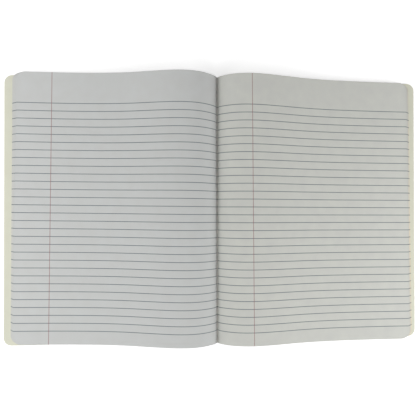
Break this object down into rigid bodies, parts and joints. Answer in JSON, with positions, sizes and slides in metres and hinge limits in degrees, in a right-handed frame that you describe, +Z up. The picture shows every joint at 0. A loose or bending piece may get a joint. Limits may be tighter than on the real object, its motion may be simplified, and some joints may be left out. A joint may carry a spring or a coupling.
{
  "type": "open composition notebook",
  "caption": "Sewn, ruled composition notebook lying open at its middle sheet, both page stacks rising in a wave from the stitched fold over two hinged board covers.",
  "frame": {"origin": "on the table under the fold, at the middle of the page height", "axes": "+X to the right across the spread, +Y towards the head of the pages, +Z up from the table"},
  "size_m": [0.39, 0.2507, 0.0203],
  "materials": {
    "paper": "matt white writing paper",
    "thread": "white sewing thread",
    "cover_board": "printed board, cream inside",
    "spine_cloth": "black cloth tape"
  },
  "bodies": {
    "pages": {"page_block": "paper", "binding_thread": "thread", "spine_tape_middle": "spine_cloth"},
    "front_cover": {"front_cover": "cover_board", "spine_tape_front_wing": "spine_cloth"},
    "back_cover": {"back_cover": "cover_board", "spine_tape_back_wing": "spine_cloth"}
  },
  "joints": [
    {"name": "front_cover_hinge", "type": "hinge", "parent": "pages", "child": "front_cover", "pos_m": [-0.0045, 0, 0], "axis": [0, -1, 0], "range_deg": [0, 90]},
    {"name": "back_cover_hinge", "type": "hinge", "parent": "pages", "child": "back_cover", "pos_m": [0.0045, 0, 0], "axis": [0, 1, 0], "range_deg": [0, 90]}
  ]
}
